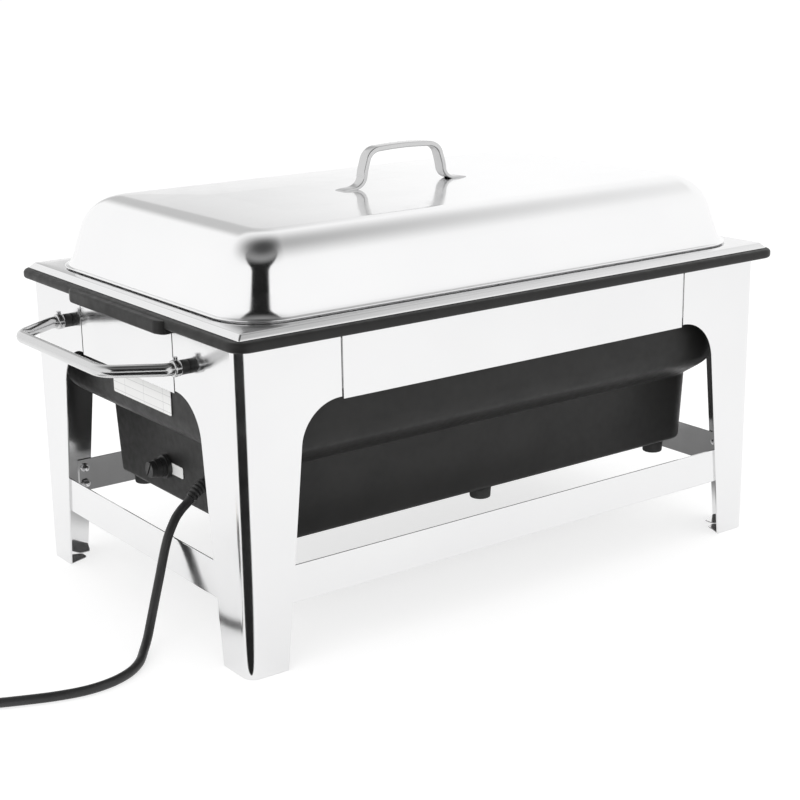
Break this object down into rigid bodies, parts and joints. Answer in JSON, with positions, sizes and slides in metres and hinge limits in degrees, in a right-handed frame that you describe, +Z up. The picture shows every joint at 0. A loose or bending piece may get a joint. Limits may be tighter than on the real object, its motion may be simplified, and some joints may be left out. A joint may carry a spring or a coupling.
{
  "type": "electric chafing dish",
  "caption": "Electric buffet server: black heater housing with a water pan in a polished sheet stand, a full-size food pan and a domed lid, with its power cord.",
  "frame": {"origin": "centre of the footprint, on the table", "axes": "+X along the long side towards the end without the cord, +Y to the rear, +Z up"},
  "size_m": [0.8805, 0.376, 0.3742],
  "materials": {
    "polished_sheet": "mirror polished stainless",
    "handle_steel": "polished stainless",
    "lid_steel": "polished stainless",
    "pan_steel": "satin stainless",
    "shield_steel": "bright sheet",
    "fastener_steel": "plated",
    "black_housing": "matt black",
    "black_plastic": "matt",
    "rubber_feet": "matt",
    "silicone": "matt",
    "aluminium_plate": "mill",
    "element_sheath": "oxidised",
    "ceramic": "glazed",
    "red_plastic": "moulded",
    "label": "printed film",
    "ivory_plastic": "moulded",
    "wire_sleeve": "silicone sleeve",
    "cord_rubber": "matt",
    "plug_plastic": "moulded",
    "brass_pins": "polished"
  },
  "bodies": {
    "base": {"leg_front_left": "polished_sheet", "leg_front_right": "polished_sheet", "leg_rear_left": "polished_sheet", "leg_rear_right": "polished_sheet", "apron_front": "polished_sheet", "apron_rear": "polished_sheet", "apron_left": "polished_sheet", "apron_right": "polished_sheet", "rail_front": "polished_sheet", "rail_rear": "polished_sheet", "rail_left": "polished_sheet", "rail_right": "polished_sheet", "rail_studs": "fastener_steel", "rail_nuts": "fastener_steel", "apron_studs": "fastener_steel", "apron_nuts": "fastener_steel", "handle_screws": "fastener_steel", "handle_grub_screws": "fastener_steel", "base_screws": "fastener_steel", "pan_screws": "fastener_steel", "pan_nuts": "fastener_steel", "pan_studs": "fastener_steel", "clamp_nuts": "fastener_steel", "handle_left": "handle_steel", "handle_right": "handle_steel", "handle_ferrules": "handle_steel", "handle_spacers": "black_plastic", "outer_housing": "black_housing", "base_cover": "black_housing", "housing_feet": "rubber_feet", "water_pan": "pan_steel", "pan_gasket": "silicone", "heat_spreader": "aluminium_plate", "element_clamps": "aluminium_plate", "heat_shield": "shield_steel", "heating_element": "element_sheath", "thermostat": "ceramic", "thermal_cutout": "ceramic", "reset_collar": "black_plastic", "reset_label": "label", "rating_label": "label", "terminal_block": "ivory_plastic", "internal_wires": "wire_sleeve", "cord_gland": "black_plastic", "power_cord": "cord_rubber", "cord_coil": "cord_rubber", "cord_lead": "cord_rubber", "cord_tie": "black_plastic", "plug_body": "plug_plastic", "plug_pins": "brass_pins", "fuse_carrier": "red_plastic"},
    "food_pan": {"food_pan": "pan_steel"},
    "lid": {"lid_shell": "lid_steel", "lid_handle": "handle_steel", "lid_handle_nuts": "fastener_steel"},
    "reset_cap": {"reset_cap": "black_plastic"},
    "reset_button": {"reset_button": "red_plastic"}
  },
  "joints": [
    {"name": "food_pan_lift", "type": "slide", "parent": "base", "child": "food_pan", "axis": [0, 0, 1], "range_m": [0, 0.09]},
    {"name": "lid_lift", "type": "slide", "parent": "food_pan", "child": "lid", "axis": [0, 0, 1], "range_m": [0, 0.15]},
    {"name": "reset_cap_off", "type": "slide", "parent": "base", "child": "reset_cap", "axis": [-1, 0, 0], "range_m": [0, 0.04]},
    {"name": "reset_press", "type": "slide", "parent": "base", "child": "reset_button", "axis": [1, 0, 0], "range_m": [0, 0.002], "stiffness_N_per_m": 400, "springref_m": -0.002}
  ]
}
